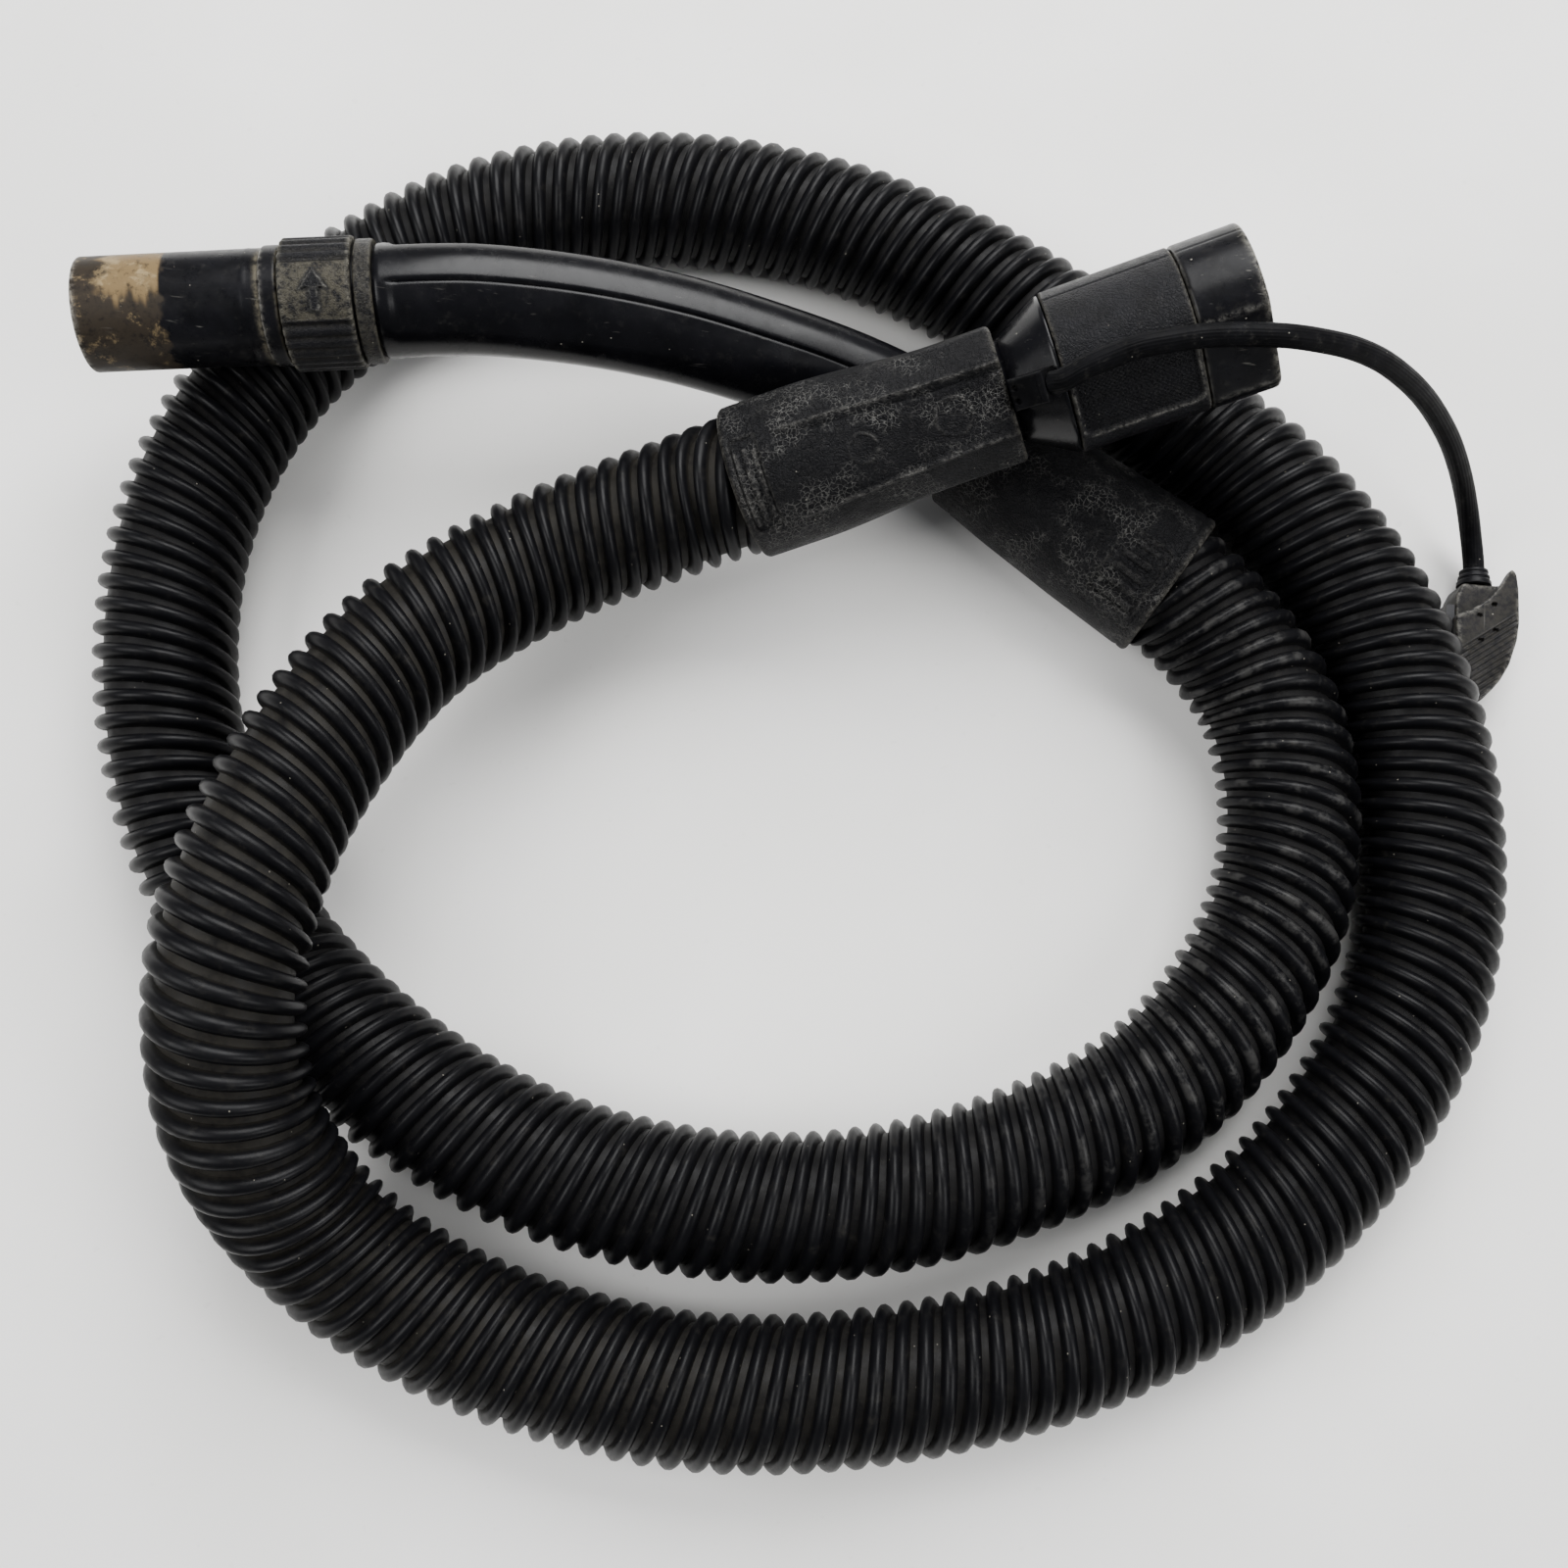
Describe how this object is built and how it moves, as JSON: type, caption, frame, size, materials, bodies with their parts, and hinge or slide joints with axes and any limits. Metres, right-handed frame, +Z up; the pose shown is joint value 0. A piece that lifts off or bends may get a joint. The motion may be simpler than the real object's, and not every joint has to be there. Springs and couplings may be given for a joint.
{
  "type": "vacuum cleaner hose",
  "caption": "Ribbed electric suction hose lying in two loops, with a swivel machine connector, a pigtail cord and plug, and a handle grip with a curved wand tube and a turning bleed ring.",
  "frame": {"origin": "middle of the loops on the surface that the hose lies on, at the bottom centre of the box round it without the pigtail cord and plug", "axes": "+Z up, +X from the wand end towards the plug side, +Y towards the side where the wand and the connector lie"},
  "size_m": [0.4461, 0.4104, 0.1126],
  "materials": {
    "hose_vinyl": "extruded ribbed vinyl, satin, dust in the grooves",
    "cuff_vinyl": "leather-grained soft vinyl moulding",
    "moulded_plastic": "fine spark-textured ABS moulding",
    "satin_plastic": "satin ABS, scuffed",
    "gloss_plastic": "polished ABS",
    "cord_rubber": "drawn rubber jacket",
    "plug_vinyl": "moulded soft vinyl",
    "seal_rubber": "soft rubber",
    "inner_plastic": "moulded plastic",
    "steel": "plated steel",
    "brass": "nickel-plated brass"
  },
  "bodies": {
    "hose_assembly": {"collar_band": "moulded_plastic", "curved_tube": "gloss_plastic", "end_tube": "satin_plastic", "handle_ferrule": "inner_plastic", "handle_grip": "cuff_vinyl", "handle_seal": "seal_rubber", "hose": "hose_vinyl", "machine_cuff": "cuff_vinyl", "machine_ferrule": "inner_plastic", "outlet_contact_1": "brass", "outlet_contact_2": "brass", "outlet_socket": "moulded_plastic", "pigtail_cord": "cord_rubber", "plug_blade_1": "brass", "plug_blade_2": "brass", "plug_blade_plate": "inner_plastic", "plug_body": "plug_vinyl", "plug_collar": "plug_vinyl", "plug_cover": "plug_vinyl", "ring_spring": "steel", "strain_relief": "cord_rubber", "swivel_retaining_clip": "steel", "swivel_seal": "seal_rubber"},
    "connector": {"connector_core": "gloss_plastic", "connector_front_shell": "moulded_plastic", "connector_back_shell": "moulded_plastic", "nose_sleeve": "satin_plastic", "nose_seal": "seal_rubber", "shell_screw_1": "steel", "shell_screw_2": "steel", "shell_screw_3": "steel", "shell_screw_4": "steel"},
    "bleed_ring": {"control_ring": "moulded_plastic"}
  },
  "joints": [
    {"name": "connector_swivel", "type": "hinge", "parent": "hose_assembly", "child": "connector", "pos_m": [0.06709, 0.10696, 0.07228], "axis": [0.9076, 0.3196, 0.2723], "range_deg": [-180, 180]},
    {"name": "bleed_ring_turn", "type": "hinge", "parent": "hose_assembly", "child": "bleed_ring", "pos_m": [-0.14918, 0.11483, 0.05954], "axis": [-0.9835, -0.1755, 0.045], "range_deg": [0, 60]}
  ]
}
